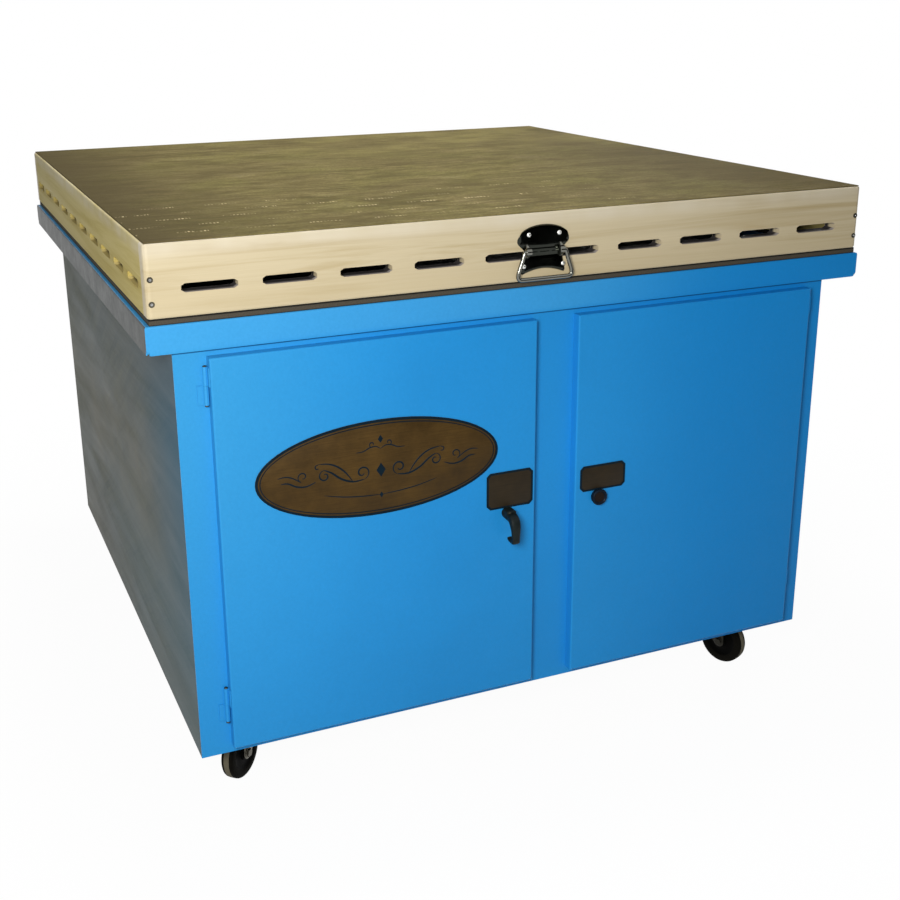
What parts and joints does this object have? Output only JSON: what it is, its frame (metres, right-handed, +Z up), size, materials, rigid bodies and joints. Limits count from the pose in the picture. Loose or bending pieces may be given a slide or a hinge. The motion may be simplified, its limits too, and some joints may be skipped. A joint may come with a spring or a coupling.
{
  "type": "downdraft table",
  "caption": "Downdraft worktable: slotted hardwood top under a thin mat, hinged at the back over a sheet-steel cabinet with doors, filters and a blower, on swivel casters.",
  "frame": {"origin": "on the floor, at the middle of the whole table's width and depth", "axes": "+Z up, front with the doors faces -Y, +X to the right of someone facing the front"},
  "size_m": [1.2292, 1.2776, 0.9144],
  "materials": {
    "maple": "satin clear varnish",
    "deck_wood": "satin",
    "mat_weave": "matte open weave",
    "gasket": "matte foam",
    "blue_paint": "gloss enamel",
    "slate_paint": "semi-gloss enamel",
    "chrome": "bright plating",
    "black_metal": "satin black",
    "black_plastic": "gloss",
    "wheel_rubber": "matte",
    "zinc": "bright zinc plate",
    "galvanised": "galvanised, satin",
    "filter_media": "matte pleated media",
    "motor_grey": "satin",
    "aluminium": "as cast",
    "bright_steel": "turned"
  },
  "bodies": {
    "cabinet": {"top_rim": "blue_paint", "rim_gasket": "gasket", "front_frame": "blue_paint", "left_panel": "slate_paint", "right_panel": "slate_paint", "back_panel": "slate_paint", "floor_pan": "slate_paint", "partition": "galvanised", "plenum_shelf": "galvanised", "rear_hinge_rim_leaf": "zinc", "left_upper_hinge_frame_leaf": "blue_paint", "left_lower_hinge_frame_leaf": "blue_paint", "right_upper_hinge_frame_leaf": "blue_paint", "right_lower_hinge_frame_leaf": "blue_paint", "front_cartridge": "filter_media", "rear_cartridge": "filter_media", "dust_tray": "galvanised", "blower_housing": "galvanised", "motor": "motor_grey", "motor_base": "motor_grey", "exhaust_grille": "slate_paint", "power_inlet": "black_plastic", "front_left_caster_plate": "zinc", "front_right_caster_plate": "zinc", "back_left_caster_plate": "zinc", "back_right_caster_plate": "zinc"},
    "lifting_top": {"apron_front": "maple", "apron_back": "maple", "apron_left": "maple", "apron_right": "maple", "slotted_deck": "deck_wood", "deck_joist": "maple", "top_mat": "mat_weave", "handle_plate": "chrome", "rear_hinge_apron_leaf": "zinc"},
    "bail": {"handle_bail": "chrome"},
    "left_leaf": {"left_door": "blue_paint", "left_upper_hinge_door_leaf": "blue_paint", "left_lower_hinge_door_leaf": "blue_paint"},
    "right_leaf": {"right_door": "blue_paint", "right_upper_hinge_door_leaf": "blue_paint", "right_lower_hinge_door_leaf": "blue_paint"},
    "latch": {"latch_handle": "black_metal", "latch_cam": "zinc"},
    "knob": {"door_knob": "black_plastic", "knob_cam": "zinc"},
    "rotor": {"impeller": "aluminium", "motor_shaft": "bright_steel"},
    "front_left_swivel": {"front_left_caster_fork": "zinc", "front_left_caster_axle": "bright_steel"},
    "front_right_swivel": {"front_right_caster_fork": "zinc", "front_right_caster_axle": "bright_steel"},
    "back_left_swivel": {"back_left_caster_fork": "zinc", "back_left_caster_axle": "bright_steel"},
    "back_right_swivel": {"back_right_caster_fork": "zinc", "back_right_caster_axle": "bright_steel"},
    "front_left_wheel": {"front_left_caster_wheel": "wheel_rubber"},
    "front_right_wheel": {"front_right_caster_wheel": "wheel_rubber"},
    "back_left_wheel": {"back_left_caster_wheel": "wheel_rubber"},
    "back_right_wheel": {"back_right_caster_wheel": "wheel_rubber"}
  },
  "joints": [
    {"name": "top_lift", "type": "hinge", "parent": "cabinet", "child": "lifting_top", "pos_m": [0, 0.63485, 0.80265], "axis": [-1, 0, 0], "range_deg": [0, 75]},
    {"name": "bail_swing", "type": "hinge", "parent": "lifting_top", "child": "bail", "pos_m": [0, -0.59625, 0.854], "axis": [-1, 0, 0], "range_deg": [0, 90]},
    {"name": "left_door_swing", "type": "hinge", "parent": "cabinet", "child": "left_leaf", "pos_m": [-0.5353, -0.58815, 0.4334], "axis": [0, 0, -1], "range_deg": [0, 110]},
    {"name": "right_door_swing", "type": "hinge", "parent": "cabinet", "child": "right_leaf", "pos_m": [0.5153, -0.58815, 0.4334], "axis": [0, 0, 1], "range_deg": [0, 110]},
    {"name": "latch_turn", "type": "hinge", "parent": "left_leaf", "child": "latch", "pos_m": [-0.0646, -0.60185, 0.436], "axis": [0, -1, 0], "range_deg": [0, 90]},
    {"name": "knob_turn", "type": "hinge", "parent": "right_leaf", "child": "knob", "pos_m": [0.1029, -0.60185, 0.436], "axis": [0, 1, 0], "range_deg": [0, 90]},
    {"name": "rotor_spin", "type": "hinge", "parent": "cabinet", "child": "rotor", "pos_m": [0.2479, 0.20785, 0.31185], "axis": [1, 0, 0], "continuous": true},
    {"name": "front_left_swivel_turn", "type": "hinge", "parent": "cabinet", "child": "front_left_swivel", "pos_m": [-0.477, -0.47185, 0.1], "axis": [0, 0, 1], "continuous": true},
    {"name": "front_right_swivel_turn", "type": "hinge", "parent": "cabinet", "child": "front_right_swivel", "pos_m": [0.4444, -0.47185, 0.1], "axis": [0, 0, 1], "continuous": true},
    {"name": "back_left_swivel_turn", "type": "hinge", "parent": "cabinet", "child": "back_left_swivel", "pos_m": [-0.477, 0.43585, 0.1], "axis": [0, 0, 1], "continuous": true},
    {"name": "back_right_swivel_turn", "type": "hinge", "parent": "cabinet", "child": "back_right_swivel", "pos_m": [0.4444, 0.43585, 0.1], "axis": [0, 0, 1], "continuous": true},
    {"name": "front_left_wheel_roll", "type": "hinge", "parent": "front_left_swivel", "child": "front_left_wheel", "pos_m": [-0.49821, -0.49306, 0.0445], "axis": [0.7071, -0.7071, 0], "continuous": true},
    {"name": "front_right_wheel_roll", "type": "hinge", "parent": "front_right_swivel", "child": "front_right_wheel", "pos_m": [0.45466, -0.50004, 0.0445], "axis": [0.9397, 0.342, 0], "continuous": true},
    {"name": "back_left_wheel_roll", "type": "hinge", "parent": "back_left_swivel", "child": "back_left_wheel", "pos_m": [-0.492, 0.40987, 0.0445], "axis": [0.866, -0.5, 0], "continuous": true},
    {"name": "back_right_wheel_roll", "type": "hinge", "parent": "back_right_swivel", "child": "back_right_wheel", "pos_m": [0.44022, 0.40614, 0.0445], "axis": [0.9903, -0.1392, 0], "continuous": true}
  ]
}
